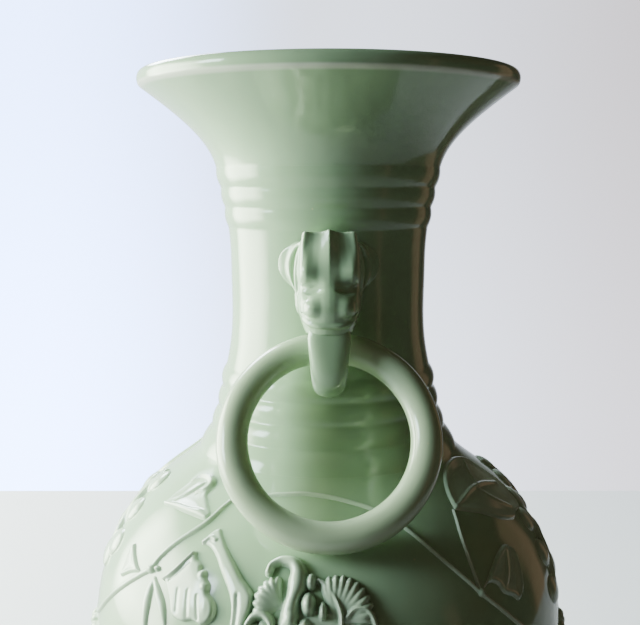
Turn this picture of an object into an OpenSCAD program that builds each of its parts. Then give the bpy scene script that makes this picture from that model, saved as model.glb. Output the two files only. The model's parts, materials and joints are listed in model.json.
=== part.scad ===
// Celadon vase with a trumpet mouth, ribbed neck, two mask handles with loose rings,
// and a raised peony scroll luted to its shoulder. Millimetres, +Z up, origin at the
// centre of the foot. The front handle faces -Y and the back one +Y.

/* [Vase] */
// Height of the vase
vase_h = 460; // [440:2:480]
// Radius of the mouth at the lower edge of its rim
mouth_r = 100; // [96:0.5:104]
// Radius of the neck at its narrowest
neck_r = 52.8; // [52:0.1:53.4]
// Radius of the belly at its widest
belly_r = 129; // [126:0.5:132]
// Radius of the foot where it stands
foot_r = 85; // [82:0.5:88]
// Height of the foot ring
foot_h = 14; // [12:1:16]
// Width of the foot ring's flat face
foot_w = 13; // [10:1:14]
// Height of the rounded band round the rim
rim_h = 7.7; // [6:0.1:9]
// Thickness of the wall at the foot
wall_foot = 9; // [8:0.5:11]
// Thickness of the wall at the rim
wall_rim = 5.5; // [5:0.5:7]
// Thickness of the base disc
disc_t = 8; // [6:1:9]

/* [Ribs] */
// Height of the raised ribs turned into the neck
rib_t = 1.1; // [0.5:0.1:1.5]
// Spacing of the four lower ribs
low_pitch = 11.25; // [10:0.25:11.5]
// Spacing of the three upper ribs
high_pitch = 10.4; // [9:0.1:11]

/* [Handles] */
// Radius of a ring, to the middle of its bar
ring_r = 46; // [44:0.5:47]
// Radius of a ring's bar
ring_bar = 7.7; // [7:0.1:7.8]
// Lean of a hanging ring away from upright
ring_lean = 29; // [28.5:0.1:31]
// Width of the head
head_w = 37; // [34:1:40]
// How far the nose stands out from the vase's axis
nose_y = 86; // [84:1:90]
// Width of the tongue
tongue_w = 18; // [16:0.5:18]
// Thickness of the tongue
tongue_t = 9; // [8:0.5:11]

/* [Relief] */
// How far the middle of a blossom stands out
bloom_t = 6; // [4:0.5:8]
// How far a leaf stands out
leaf_t = 2.6; // [2:0.1:4]
// How far a stem stands out
stem_t = 1.8; // [1:0.1:2.4]
// Width of a stem
stem_w = 3; // [2:0.1:4]
// Width of the long blade leaf
blade_w = 9; // [7:0.5:10]
// Width of the bud
bud_w = 9; // [7:0.5:9]
// Radius of the large blossoms
bloom_r = 40; // [36:1:42]

/* [Hidden] */
$fn = 96;
SECTIONS = ["foot_ring", "base_disc", "lower_body", "upper_body", "neck", "mouth"];
HANDLE = ["head", "tongue", "ring"];
SPRIGS = ["peony", "lobed_leaf", "blade_leaf", "curl_leaf", "small_leaf", "bud", "left_vine",
          "top_vine", "right_vine", "pointed_leaf", "wide_leaf", "left_spray", "right_spray",
          "side_peony", "low_leaves"];
SIDES = ["front_", "back_"];

belly_z = 160;
shoulder_z = 263;
low_rib_end = shoulder_z + 4 * low_pitch;
high_rib_z = 379;
mouth_z = high_rib_z + 3 * high_pitch;
rim_z = vase_h - rim_h;
// The outer curve as [height, radius, slope], with a cubic between each pair
CURVE = [[foot_h, foot_r - 4.5, -0.3], [30, 77, 0.1], [90, 108, 0.67], [belly_z, belly_r, 0],
         [240, 94.7, -1.08], [shoulder_z, 70.5, -0.74], [308, 55, -0.23], [360, neck_r, 0],
         [412, 60.6, 0.26], [rim_z, mouth_r, 1.39]];

function ease(t) = 3 * t * t - 2 * t * t * t;
function cubic(z, a, b) =
    let (h = b[0] - a[0], t = (z - a[0]) / h)
    a[1] * (1 - ease(t)) + b[1] * ease(t)
    + h * (a[2] * t * (1 - t) * (1 - t) - b[2] * t * t * (1 - t));
function span(z, i = 0) = i == len(CURVE) - 2 || z <= CURVE[i + 1][0] ? i : span(z, i + 1);
function plain_r(z) = let (i = span(z)) cubic(z, CURVE[i], CURVE[i + 1]);
function slope(z) = plain_r(z + 0.5) - plain_r(z - 0.5);
function ribs(z, low, pitch, count) =
    z <= low || z >= low + count * pitch ? 0 : rib_t * abs(sin(180 * (z - low) / pitch));
function outer_r(z) =
    plain_r(z) + ribs(z, shoulder_z, low_pitch, 4) + ribs(z, high_rib_z, high_pitch, 3);
function wall(z) = wall_foot + (wall_rim - wall_foot) * z / vase_h;
// A point d outside the plain curve, square to it
function off_curve(z, d) =
    let (s = slope(z), k = d / sqrt(1 + s * s)) [plain_r(z) + k, z - k * s];
function levels(low, high, count) = [for (i = [0:count]) low + (high - low) * i / count];
function reversed(list) = [for (i = [len(list) - 1:-1:0]) list[i]];
function outer_line(zs) = [for (z = zs) [outer_r(z), z]];
function inner_line(zs) = [for (z = zs) off_curve(z, -wall(z))];

BODY_LEVELS = levels(foot_h, belly_z, 16);
SHOULDER_LEVELS = levels(belly_z, shoulder_z, 13);
NECK_LEVELS = concat(levels(shoulder_z, low_rib_end, 24), levels(low_rib_end + 7, high_rib_z - 7, 8),
                     levels(high_rib_z, mouth_z, 18));
MOUTH_LEVELS = levels(mouth_z, rim_z, 12);

module turned(points) rotate_extrude() polygon(points);

// ---- Thrown sections ----
module foot_ring() {
    inside = foot_r - foot_w;
    color("#b98a63") turned([[inside, foot_h], [inside, 1.5], [inside + 1.5, 0], [foot_r - 1.5, 0],
                             [foot_r, 1.5], [foot_r - 0.5, foot_h / 2], [foot_r - 4.5, foot_h]]);
}

module base_disc() {
    color("#c79a74") translate([0, 0, foot_h - 2]) cylinder(r = foot_r - foot_w, h = disc_t);
}

module lower_body() {
    seat = foot_r - foot_w;
    color("#a9bfa3") turned(concat(
        [[seat, foot_h + disc_t], [seat, foot_h]], outer_line(BODY_LEVELS),
        inner_line(reversed([for (z = BODY_LEVELS) if (z > foot_h + disc_t + 4) z]))));
}

module upper_body() {
    color("#adc3a7") turned(concat(outer_line(SHOULDER_LEVELS),
                                   inner_line(reversed(SHOULDER_LEVELS))));
}

module neck() {
    color("#a5bb9f") turned(concat(outer_line(NECK_LEVELS),
                                   inner_line(reversed(levels(shoulder_z, mouth_z, 18)))));
}

module mouth() {
    rim_mid = rim_z + rim_h / 2;
    rim = [[mouth_r + 0.6, rim_mid], [mouth_r - 1.2, vase_h - 0.8], [mouth_r - 2.6, vase_h],
           [mouth_r - 5.4, vase_h - 0.8]];
    color("#b3c9ad") turned(concat(outer_line(MOUTH_LEVELS), rim,
                                   inner_line(reversed(MOUTH_LEVELS))));
}

// ---- Handles, as made for the front ----
tube_y = neck_r + ring_bar + 1.5;
tube_z = 322;
tongue_in = tube_y + ring_bar + 1.5;
tongue_out = tongue_in + tongue_t;
chin_z = 333;
head_top = 379;
// What the handles and their roots are trimmed to: the neck's own outside
module neck_core() {
    zs = [for (z = NECK_LEVELS) if (z > 285 && z < 400) z];
    turned(concat([[0, zs[0]]], outer_line(zs), [[0, zs[len(zs) - 1]]]));
}

// Extrudes an outline drawn as [distance from the axis, height] across the front
module side_cut(width) {
    translate([-width / 2, 0, 0]) rotate([90, 0, -90]) mirror([0, 0, 1]) linear_extrude(width)
        children();
}

// Extrudes an outline drawn as [across, height] out through the front
module front_cut() {
    rotate([90, 0, 0]) linear_extrude(nose_y + 20) children();
}

module head() {
    half = head_w / 2;
    difference() {
        intersection() {
            side_cut(head_w) polygon([
                [45, chin_z], [nose_y - 4, chin_z], [nose_y - 1, chin_z + 3], [nose_y, chin_z + 9],
                [nose_y - 3, chin_z + 14], [nose_y - 8, chin_z + 19], [nose_y - 9, chin_z + 26],
                [nose_y - 10, chin_z + 34], [nose_y - 13, head_top], [45, head_top]]);
            front_cut() polygon([
                [-half + 5, chin_z], [half - 5, chin_z], [half - 4, chin_z + 10],
                [half, chin_z + 20], [half, chin_z + 32], [half - 5, head_top - 3],
                [half - 8, head_top], [8 - half, head_top], [5 - half, head_top - 3],
                [-half, chin_z + 32], [-half, chin_z + 20], [4 - half, chin_z + 10]]);
            union() {
                side_cut(head_w - 9) square([nose_y + 1, head_top + 1]);
                side_cut(head_w) square([neck_r + 12, head_top + 1]);
            }
        }
        neck_core();
    }
}

module tongue() {
    crook_top = tube_z - ring_bar - 1.6;
    tip_z = crook_top - 12.5;
    corner = 8;
    difference() {
        intersection() {
            side_cut(tongue_w) difference() {
                union() {
                    translate([45, tip_z]) square([tongue_out - corner - 45, chin_z - tip_z]);
                    translate([45, tip_z + corner]) square([tongue_out - 45, chin_z - tip_z - corner]);
                    translate([tongue_out - corner, tip_z + corner]) circle(corner);
                }
                translate([40, crook_top]) square([tongue_in - 40, chin_z - crook_top + 1]);
            }
            front_cut() union() {
                translate([0, tip_z + tongue_w / 2]) circle(tongue_w / 2);
                translate([-tongue_w / 2, tip_z + tongue_w / 2]) square([tongue_w, chin_z - tip_z]);
            }
        }
        neck_core();
    }
}

module ring() {
    translate([0, -tube_y, tube_z]) rotate([-ring_lean, 0, 0]) translate([0, 0, -ring_r])
        rotate([90, 0, 0]) rotate_extrude() translate([ring_r, 0]) circle(ring_bar);
}

// ---- Relief, laid out by [angle round the vase, height] ----
// The skin that a sprig of thickness t fills, on the body's own outside
module skin(t) {
    zs = concat([for (z = BODY_LEVELS) if (z > 70 && z < belly_z - 1) z], SHOULDER_LEVELS);
    turned(concat([for (z = zs) off_curve(z, t)], reversed(outer_line(zs))));
}

function lean(z) = atan(-slope(z));
// Where [angle, height] falls on the flat drawing plane that touches the vase at `at`
function flat(at, p) =
    let (turn = p[0] - at[0], r = plain_r(p[1]), a = lean(at[1]))
    [r * sin(turn), (plain_r(at[1]) - r * cos(turn)) * sin(a) + (p[1] - at[1]) * cos(a)];

// Cuts an outline, drawn on that plane, out of the skin
module sprig(at, t) {
    intersection() {
        skin(t);
        rotate([0, 0, at[0]]) translate([0, -plain_r(at[1]), at[1]])
            rotate([90 - lean(at[1]), 0, 0]) translate([0, 0, -40]) linear_extrude(60) children();
    }
}

// A smooth curve through points, as Catmull-Rom spans
function spline(p, steps = 4) = [for (i = [0:len(p) - 2], k = [0:steps - 1])
    let (t = k / steps, a = p[max(i - 1, 0)], b = p[i], c = p[i + 1], d = p[min(i + 2, len(p) - 1)])
    b + t * (c - a) / 2 + t * t * (2 * a - 5 * b + 4 * c - d) / 2
      + t * t * t * (3 * b - a - 3 * c + d) / 2];

// A band of width w along a line, with pointed ends
function band(p, w) =
    let (n = len(p) - 1, side = [for (i = [1:n - 1])
        let (d = p[i + 1] - p[i - 1]) w / 2 * [-d[1], d[0]] / norm(d)])
    concat([p[0]], [for (i = [1:n - 1]) p[i] + side[i - 1]], [p[n]],
           reversed([for (i = [1:n - 1]) p[i] - side[i - 1]]));

module stem(at, points) {
    sprig(at, stem_t) polygon(band(spline([for (p = points) flat(at, p)]), stem_w));
}

// A round bloom of `lobes` rounded petals
module bloom_outline(radius, lobes, depth = 0.16) {
    polygon([for (a = [0:6:354]) radius * (1 - depth + depth * abs(sin(a * lobes / 2)))
                                 * [cos(a), sin(a)]]);
}

module bloom(at, radius) {
    sprig(at, bloom_t * 0.5) bloom_outline(radius, 8);
    sprig(at, bloom_t * 0.8) bloom_outline(radius * 0.68, 6);
    sprig(at, bloom_t) bloom_outline(radius * 0.38, 5);
}

// A leaf of given length and width, pointing along `turn`, with wavy edges
module leaf_outline(length, width, turn, teeth) {
    half = [for (t = [0.06:0.08:0.95])
        [t * length, width / 2 * pow(sin(180 * pow(t, 0.8)), 0.7) * (1 - 0.14 * cos(360 * teeth * t))]];
    rotate(turn) translate([-length / 2, 0])
        polygon(concat([[0, 0]], half, [[length, 0]], reversed([for (p = half) [p[0], -p[1]]])));
}

module leaf(at, length, width, turn, teeth = 3) {
    sprig(at, leaf_t) leaf_outline(length, width, turn, teeth);
}

// A leaf drawn by its outline
module patch(at, points) {
    sprig(at, leaf_t) polygon([for (p = points) flat(at, p)]);
}

module peony() bloom([-2, 194], bloom_r);

module lobed_leaf() {
    patch([-35, 215], [[-37.6, 229], [-36, 225], [-33.6, 225.5], [-33, 221.5], [-31, 221], [-30.6, 216],
                       [-28.4, 215], [-26.8, 210], [-26.6, 203.5], [-30, 200], [-34, 202], [-38, 200],
                       [-41, 203.5], [-42.6, 210], [-44.4, 218], [-41.4, 223]]);
}

module blade_leaf() {
    at = [-28, 221];
    sprig(at, leaf_t) polygon(band(spline([for (p = [[-35.2, 238], [-33.4, 234], [-30.4, 228], [-27, 221.5],
                                                     [-24.6, 216], [-23.4, 210], [-22.8, 204]]) flat(at, p)]),
                                   blade_w));
}

module curl_leaf() {
    patch([-56, 248], [[-66, 241], [-60, 241.5], [-52, 242], [-41, 243], [-43, 247.5], [-47, 251],
                       [-51, 254.5], [-56, 257], [-62, 258], [-67, 255.5], [-70, 250], [-69, 245]]);
}

module small_leaf() {
    patch([-58, 214], [[-61.2, 222.5], [-58.4, 219.5], [-55, 217.5], [-53.6, 216], [-56, 212.5],
                       [-60.4, 208], [-60.8, 213.5], [-61.8, 218.5]]);
}

module bud() {
    at = [-45, 203];
    sprig(at, leaf_t) polygon(band(spline([for (p = [[-47, 213.5], [-46, 208], [-45, 202], [-44.4, 192]])
                                           flat(at, p)]), bud_w));
}

module left_vine() {
    stem([-52, 216], [[-72, 179.5], [-60, 200.5], [-53, 211.5], [-48.5, 217.5], [-47.4, 223.5], [-44, 231],
                      [-38, 240.5], [-35.4, 247.5], [-33, 253]]);
}

module top_vine() {
    stem([6, 240], [[-24, 252], [-14, 256], [-7, 256.5], [2, 255], [9, 252.5], [14, 250], [19, 245.5],
                    [23.5, 240.5], [31, 227.5], [35, 219]]);
}

module right_vine() {
    at = [44, 208];
    sprig(at, stem_t) {
        polygon(band(spline([for (p = [[36.6, 215.5], [38.5, 211.5], [43, 201.5], [48, 191], [54, 181.5]])
                             flat(at, p)]), stem_w));
        polygon(band(spline([for (p = [[39, 209.5], [38.6, 217], [38.8, 224], [39.6, 232], [40.6, 238]])
                             flat(at, p)]), stem_w));
    }
}

module pointed_leaf() {
    patch([51, 213], [[41, 212.5], [43.4, 211.5], [45.2, 209], [47.6, 204.5], [50, 201.5], [51.4, 206],
                      [54, 211.5], [57, 217.5], [59.4, 223.5], [60, 227.5], [56, 227.5], [52, 224],
                      [47.4, 221], [43.4, 217.5]]);
}

module wide_leaf() {
    patch([65, 248], [[42, 243.5], [42.8, 249], [46, 255.5], [53, 259.5], [61, 261], [69, 260.5], [76, 257],
                      [80, 253.5], [85, 248], [89, 245.5], [87.4, 242], [83, 240], [81, 237], [76, 237],
                      [73, 235], [68, 237], [62, 238], [54, 239.5], [47, 241]]);
}

module left_spray() leaf([-80, 225], 54, 24, 100, 5);
module right_spray() leaf([76, 207], 50, 24, 80, 5);
module side_peony() bloom([90, 150], bloom_r - 4);

module low_leaves() {
    leaf([-40, 150], 50, 24, 50);
    leaf([36, 148], 50, 24, 130);
    leaf([-4, 118], 40, 20, 90);
}

// ---- Each part, turned to its side ----
module place(side) rotate([0, 0, side == "back_" ? 180 : 0]) children();

module handle_part(name) {
    if (name == "head") color("#9fb89b") head();
    if (name == "tongue") color("#8faa8c") tongue();
    if (name == "ring") color("#b7ccb2") ring();
}

module sprig_part(name) {
    if (name == "peony") color("#c3d6bd") peony();
    if (name == "lobed_leaf") color("#9cb997") lobed_leaf();
    if (name == "blade_leaf") color("#93b18e") blade_leaf();
    if (name == "curl_leaf") color("#9cb997") curl_leaf();
    if (name == "small_leaf") color("#93b18e") small_leaf();
    if (name == "bud") color("#c3d6bd") bud();
    if (name == "left_vine") color("#86a482") left_vine();
    if (name == "top_vine") color("#86a482") top_vine();
    if (name == "right_vine") color("#86a482") right_vine();
    if (name == "pointed_leaf") color("#9cb997") pointed_leaf();
    if (name == "wide_leaf") color("#93b18e") wide_leaf();
    if (name == "left_spray") color("#9cb997") left_spray();
    if (name == "right_spray") color("#9cb997") right_spray();
    if (name == "side_peony") color("#c3d6bd") side_peony();
    if (name == "low_leaves") color("#9cb997") low_leaves();
}

foot_ring();
base_disc();
lower_body();
upper_body();
neck();
mouth();
for (side = SIDES, name = HANDLE)
    place(side) handle_part(name);
for (side = SIDES, name = SPRIGS)
    place(side) sprig_part(name);
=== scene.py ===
"""Celadon vase with mask handles: the looks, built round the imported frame.

Metres, +Z up, the front handle at -Y. Shapes are worked out in millimetres and scaled
by MM when they become meshes.
"""

import json
import math

import bpy
import numpy as np
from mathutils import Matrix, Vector


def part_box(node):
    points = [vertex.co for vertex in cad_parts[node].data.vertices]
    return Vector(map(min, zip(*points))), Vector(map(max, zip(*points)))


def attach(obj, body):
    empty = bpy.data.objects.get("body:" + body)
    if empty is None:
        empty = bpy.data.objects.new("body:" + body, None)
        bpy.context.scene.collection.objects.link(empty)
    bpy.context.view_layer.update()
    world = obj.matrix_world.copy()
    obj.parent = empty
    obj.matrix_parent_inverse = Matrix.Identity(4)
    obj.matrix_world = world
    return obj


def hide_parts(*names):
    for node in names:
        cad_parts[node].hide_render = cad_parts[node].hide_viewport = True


MM = 0.001
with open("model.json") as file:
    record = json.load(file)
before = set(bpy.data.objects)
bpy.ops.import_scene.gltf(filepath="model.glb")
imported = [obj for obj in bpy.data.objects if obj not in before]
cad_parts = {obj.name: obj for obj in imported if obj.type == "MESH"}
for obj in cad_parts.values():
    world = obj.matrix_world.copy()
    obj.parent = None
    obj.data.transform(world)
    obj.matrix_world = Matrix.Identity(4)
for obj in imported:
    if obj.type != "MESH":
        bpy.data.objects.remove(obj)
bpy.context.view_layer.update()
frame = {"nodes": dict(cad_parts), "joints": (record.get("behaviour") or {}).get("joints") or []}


# ---------------------------------------------------------------- sizes from the frame
def top_mm(node):
    """Highest corner of a CAD node, in mm."""
    return np.array(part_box(node)[1]) / MM


def low_mm(node):
    """Lowest corner of a CAD node, in mm."""
    return np.array(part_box(node)[0]) / MM


VASE_H = top_mm("mouth")[2]
FOOT_H = top_mm("foot_ring")[2]
FOOT_R = top_mm("foot_ring")[0]
BELLY_Z = low_mm("upper_body")[2]
BELLY_R = top_mm("lower_body")[0]
SHOULDER_Z = low_mm("neck")[2]
RIM_H = 7.7
RIM_Z = VASE_H - RIM_H
RIM_OUT = 0.6
MOUTH_R = top_mm("mouth")[0] - RIM_OUT
NECK_R = 52.8
LOW_PITCH, LOW_RIBS = 11.25, 4
HIGH_PITCH, HIGH_RIBS = 10.4, 3
HIGH_RIB_Z = 379.0
MOUTH_Z = HIGH_RIB_Z + HIGH_PITCH * HIGH_RIBS
RIB_T = 1.1
WALL_FOOT, WALL_RIM = 9.0, 5.5
FOOT_WIDTH = 13

# The outer curve as (height, radius, slope), the same curve as the CAD's
STATIONS = np.array([
    (FOOT_H, FOOT_R - 4.5, -0.3), (30, 77, 0.1), (90, 108, 0.67), (BELLY_Z, BELLY_R, 0),
    (240, 94.7, -1.08), (SHOULDER_Z, 70.5, -0.74), (308, 55, -0.23), (360, NECK_R, 0),
    (412, 60.6, 0.26), (RIM_Z, MOUTH_R, 1.39)])


def blurred(values, sigma):
    """values smoothed by a Gaussian of sigma samples, with the ends carried straight on."""
    reach = int(4 * sigma)
    kernel = np.exp(-0.5 * (np.arange(-reach, reach + 1) / sigma) ** 2)
    before = values[0] + (values[1] - values[0]) * np.arange(-reach, 0)
    after = values[-1] + (values[-1] - values[-2]) * np.arange(1, reach + 1)
    return np.convolve(np.concatenate([before, values, after]), kernel / kernel.sum(), "valid")


def cubic_radius(z):
    """The radius at heights z, from the cubics between the stations."""
    i = np.clip(np.searchsorted(STATIONS[:, 0], z) - 1, 0, len(STATIONS) - 2)
    low, high = STATIONS[i], STATIONS[i + 1]
    h = high[:, 0] - low[:, 0]
    t = (z - low[:, 0]) / h
    ease = t * t * (3 - 2 * t)
    return (low[:, 1] * (1 - ease) + high[:, 1] * ease
            + h * (low[:, 2] * t * (1 - t) ** 2 - high[:, 2] * t * t * (1 - t)))


STEP = 0.25
CURVE_BLUR, RIB_BLUR = 4.0, 0.55
CURVE_Z = np.arange(FOOT_H, RIM_Z + STEP / 2, STEP)
CURVE_R = blurred(cubic_radius(CURVE_Z), CURVE_BLUR / STEP)
CURVE_SLOPE = np.gradient(CURVE_R, STEP)
CURVE_S = np.concatenate([[0], np.cumsum(np.hypot(np.diff(CURVE_R), STEP))])


def plain_r(z):
    """Radius of the body without its ribs."""
    return np.interp(z, CURVE_Z, CURVE_R)


def rib_band(z, low, pitch, count):
    """Height of turned ribs: round backs with soft grooves between them."""
    t = (z - low) / pitch
    back = np.abs(np.sin(np.pi * t)) ** 0.8
    return np.where((t > 0) & (t < count), RIB_T * back, 0.0)


LOW_RIB_GAIN = 1.5
RIBS = blurred(LOW_RIB_GAIN * rib_band(CURVE_Z, SHOULDER_Z, LOW_PITCH, LOW_RIBS)
               + rib_band(CURVE_Z, HIGH_RIB_Z, HIGH_PITCH, HIGH_RIBS), RIB_BLUR / STEP)


def outer_r(z):
    """Radius of the body with its ribs."""
    return np.interp(z, CURVE_Z, CURVE_R + RIBS)


def wall_point(z):
    """Points of the inside, square to the outer curve at heights z."""
    slope = np.interp(z, CURVE_Z, CURVE_SLOPE)
    wall = WALL_FOOT + (WALL_RIM - WALL_FOOT) * z / VASE_H
    k = wall / np.sqrt(1 + slope * slope)
    return np.stack([plain_r(z) - k, z + k * slope], -1)


# ---------------------------------------------------------------- meshes
SHARP_DEGREES = 50
TURNED_STEPS = 288


def new_mesh(name, verts_mm, faces):
    """A smooth-shaded mesh object from points in mm, with its sharp edges kept."""
    mesh = bpy.data.meshes.new(name)
    mesh.from_pydata((np.asarray(verts_mm) * MM).tolist(), [], [list(map(int, f)) for f in faces])
    mesh.validate()
    mesh.shade_smooth()
    mesh.set_sharp_from_angle(angle=math.radians(SHARP_DEGREES))
    obj = bpy.data.objects.new(name, mesh)
    bpy.context.scene.collection.objects.link(obj)
    return obj


def grid_faces(rows, cols, wrap_rows=False, wrap_cols=False):
    """Quads of a grid of rows x cols points."""
    i = np.arange(rows if wrap_rows else rows - 1)
    j = np.arange(cols if wrap_cols else cols - 1)
    i, j = (a.ravel() for a in np.meshgrid(i, j, indexing="ij"))
    i1, j1 = (i + 1) % rows, (j + 1) % cols
    return np.stack([i * cols + j, i * cols + j1, i1 * cols + j1, i1 * cols + j], -1)


def turned(name, line):
    """A closed turned solid from its outline [(r, z), ...], drawn anticlockwise."""
    line = np.asarray(line, float)
    a = np.linspace(0, 2 * np.pi, TURNED_STEPS, endpoint=False)
    verts = np.stack([line[:, None, 0] * np.cos(a), line[:, None, 0] * np.sin(a),
                      np.repeat(line[:, 1:2], TURNED_STEPS, 1)], -1).reshape(-1, 3)
    faces = grid_faces(len(line), TURNED_STEPS, wrap_rows=True, wrap_cols=True)
    return new_mesh(name, verts, faces[:, ::-1])


def ease(t):
    """0 to 1 with flat ends."""
    t = np.clip(t, 0, 1)
    return t * t * (3 - 2 * t)


def levels(low, high, step):
    """Heights from low to high, near step apart."""
    return np.linspace(low, high, max(2, int(round((high - low) / step)) + 1))


def outer_line(z):
    """Points of the outside, ribs and all, at heights z."""
    return np.stack([outer_r(z), z], -1)


def rim_line():
    """The rim: a crisp lower edge, a full rounded band and a soft top."""
    knots = np.array([(0.0, 0.0), (0.75, 1.2), (1.1, 3.6), (0.5, 5.9), (-0.9, 7.3), (-2.6, 7.7),
                      (-4.3, 7.35), (-5.6, 6.3)])
    t = np.linspace(0, len(knots) - 1, 40)
    i = np.clip(t.astype(int), 0, len(knots) - 2)
    f = (t - i)[:, None]
    a, b = knots[np.maximum(i - 1, 0)], knots[i]
    c, d = knots[i + 1], knots[np.minimum(i + 2, len(knots) - 1)]
    path = (b + f * (c - a) / 2 + f**2 * (2 * a - 5 * b + 4 * c - d) / 2
            + f**3 * (3 * b - a - 3 * c + d) / 2)
    return path + [MOUTH_R, RIM_Z]


def body_sections():
    """The turned body, in the CAD's six sections from the foot up."""
    seat = FOOT_R - FOOT_WIDTH
    pieces = {}
    foot = [(seat, FOOT_H), (seat, 2.2), (seat + 0.6, 0.9), (seat + 2, 0.1), (seat + 2.6, 0),
            (FOOT_R - 3, 0), (FOOT_R - 2, 0.25), (FOOT_R - 0.7, 1.2), (FOOT_R, 3), (FOOT_R - 0.1, 5.5),
            (FOOT_R - 0.9, 8.5), (FOOT_R - 2.4, 11.4), (FOOT_R - 4.5, FOOT_H)]
    pieces["foot_ring"] = turned("foot_ring_turned", foot)
    disc_low, disc_top = low_mm("base_disc")[2], top_mm("base_disc")[2]
    disc_r = top_mm("base_disc")[0]
    rim = [(0.01, disc_low + 1.2), (disc_r * 0.6, disc_low + 0.9), (disc_r - 3, disc_low + 0.2),
           (disc_r, disc_low), (disc_r, disc_top), (disc_r * 0.5, disc_top - 0.5), (0.01, disc_top - 0.8)]
    pieces["base_disc"] = turned("base_disc_turned", rim)
    z = levels(FOOT_H, BELLY_Z, 1.5)
    inner = wall_point(z[z > disc_top + 4][::-1])
    pieces["lower_body"] = turned("lower_body_turned", np.concatenate(
        [[(disc_r, disc_top), (disc_r, FOOT_H)], outer_line(z), inner]))
    z = levels(BELLY_Z, SHOULDER_Z, 1.2)
    pieces["upper_body"] = turned("upper_body_turned", np.concatenate(
        [outer_line(z), wall_point(z[::-1])]))
    z = levels(SHOULDER_Z, MOUTH_Z, 0.6)
    pieces["neck"] = turned("neck_turned", np.concatenate(
        [outer_line(z), wall_point(z[::-4])]))
    z = levels(MOUTH_Z, RIM_Z, 0.6)
    pieces["mouth"] = turned("mouth_turned", np.concatenate(
        [outer_line(z), rim_line()[1:], wall_point(z[::-1])]))
    return pieces


# ---------------------------------------------------------------- relief
# Sprigs are laid out by how far they are turned round from the front, in degrees, and how
# far they lie down the curve from the shoulder line, in mm. Each is a height above the
# body on a fine grid; where it falls below the body it ends.
SHOULDER_S = float(np.interp(SHOULDER_Z, CURVE_Z, CURVE_S))
GRID = 0.55
# Heights, from the body's surface: an empty sheet, and where a sprig's edge goes under
EMPTY, UNDER = -4.0, -0.45


def on_body(turn, down, out):
    """Points at turn degrees, down mm below the shoulder line and out mm off the body."""
    z = np.interp(SHOULDER_S - down, CURVE_S, CURVE_Z)
    slope = np.interp(z, CURVE_Z, CURVE_SLOPE)
    k = out / np.sqrt(1 + slope * slope)
    r = plain_r(z) + k
    a = np.radians(turn)
    return np.stack([r * np.sin(a), -r * np.cos(a), z - k * slope], -1)


def smooth_max(a, b, k):
    """The larger of a and b, with a fillet of size k where they meet."""
    h = np.maximum(k - np.abs(a - b), 0) / k
    return np.maximum(a, b) + h * h * k / 4


def curve(points, steps=6):
    """A smooth line through points, whose columns may hold widths and heights too."""
    p = np.asarray(points, float)
    p = np.concatenate([[2 * p[0] - p[1]], p, [2 * p[-1] - p[-2]]])
    out = []
    for i in range(1, len(p) - 2):
        a, b, c, d = p[i - 1:i + 3]
        t = np.linspace(0, 1, steps, endpoint=False)[:, None]
        out.append(b + t * (c - a) / 2 + t**2 * (2 * a - 5 * b + 4 * c - d) / 2
                   + t**3 * (3 * b - a - 3 * c + d) / 2)
    return np.concatenate(out + [p[-2:-1]])


def nearest(u, v, path, closed=False):
    """(distance to a line, where on it as a fractional index)."""
    ends = np.roll(path, -1, 0) if closed else path[1:]
    best = np.full(u.shape, 1e9)
    where = np.zeros(u.shape)
    for i, (a, b) in enumerate(zip(path, ends)):
        du, dv = b[0] - a[0], b[1] - a[1]
        t = np.clip(((u - a[0]) * du + (v - a[1]) * dv) / max(du * du + dv * dv, 1e-9), 0, 1)
        dist = np.hypot(u - a[0] - t * du, v - a[1] - t * dv)
        near = dist < best
        best[near], where[near] = dist[near], i + t[near]
    return best, where


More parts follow.
